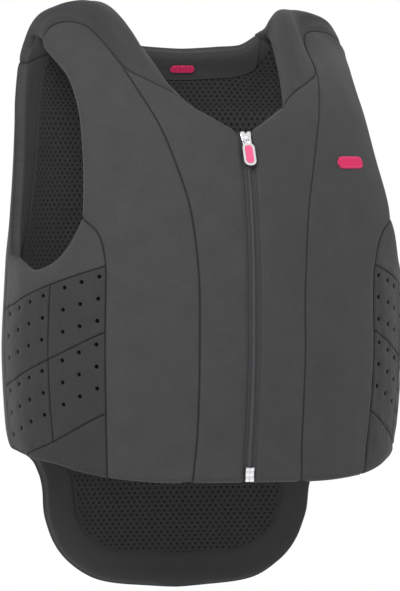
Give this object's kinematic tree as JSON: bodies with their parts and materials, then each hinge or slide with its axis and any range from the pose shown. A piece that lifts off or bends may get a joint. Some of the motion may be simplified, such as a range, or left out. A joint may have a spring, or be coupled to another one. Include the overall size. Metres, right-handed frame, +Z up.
{
  "type": "body protector",
  "caption": "Adult padded equestrian body protector vest with foam panels, vented sides, a front zip and a long rounded back tail",
  "frame": {"origin": "midway between the two straps, level with their undersides, where they rest on the wearer's shoulders", "axes": "+Z up, the front of the vest faces -Y, the wearer's left side is +X, right-handed"},
  "size_m": [0.4322, 0.2584, 0.6185],
  "materials": {
    "shell_cloth": "matt",
    "side_cloth": "matt",
    "liner_mesh": "matt",
    "band_cloth": "matt",
    "zip_cloth": "matt",
    "zip_coil": "satin",
    "zip_metal": "satin",
    "pull_rubber": "satin",
    "accent": "matt"
  },
  "bodies": {
    "vest": {"front_center_right": "shell_cloth", "front_center_left": "shell_cloth", "front_side_right": "shell_cloth", "front_side_left": "shell_cloth", "shoulder_yoke_right": "shell_cloth", "shoulder_yoke_left": "shell_cloth", "vent_upper_front_right": "side_cloth", "vent_upper_front_left": "side_cloth", "vent_upper_back_right": "side_cloth", "vent_upper_back_left": "side_cloth", "vent_lower_front_right": "side_cloth", "vent_lower_front_left": "side_cloth", "vent_lower_back_right": "side_cloth", "vent_lower_back_left": "side_cloth", "side_hem_right": "side_cloth", "side_hem_left": "side_cloth", "underarm_right": "shell_cloth", "underarm_left": "shell_cloth", "back_panel": "shell_cloth", "back_liner": "liner_mesh", "collar_band": "band_cloth", "zip_tape_right": "zip_cloth", "zip_tape_left": "zip_cloth", "zip_teeth": "zip_coil", "zip_slider": "zip_metal", "zip_box": "zip_metal", "chest_tab": "accent", "collar_tab": "accent"},
    "pull_tab": {"zip_pull": "zip_metal", "pull_insert": "pull_rubber"}
  },
  "joints": [
    {"name": "pull_hinge", "type": "hinge", "parent": "vest", "child": "pull_tab", "pos_m": [0, -0.1292, -0.12997], "axis": [-1, 0, 0], "range_deg": [0, 150]}
  ]
}
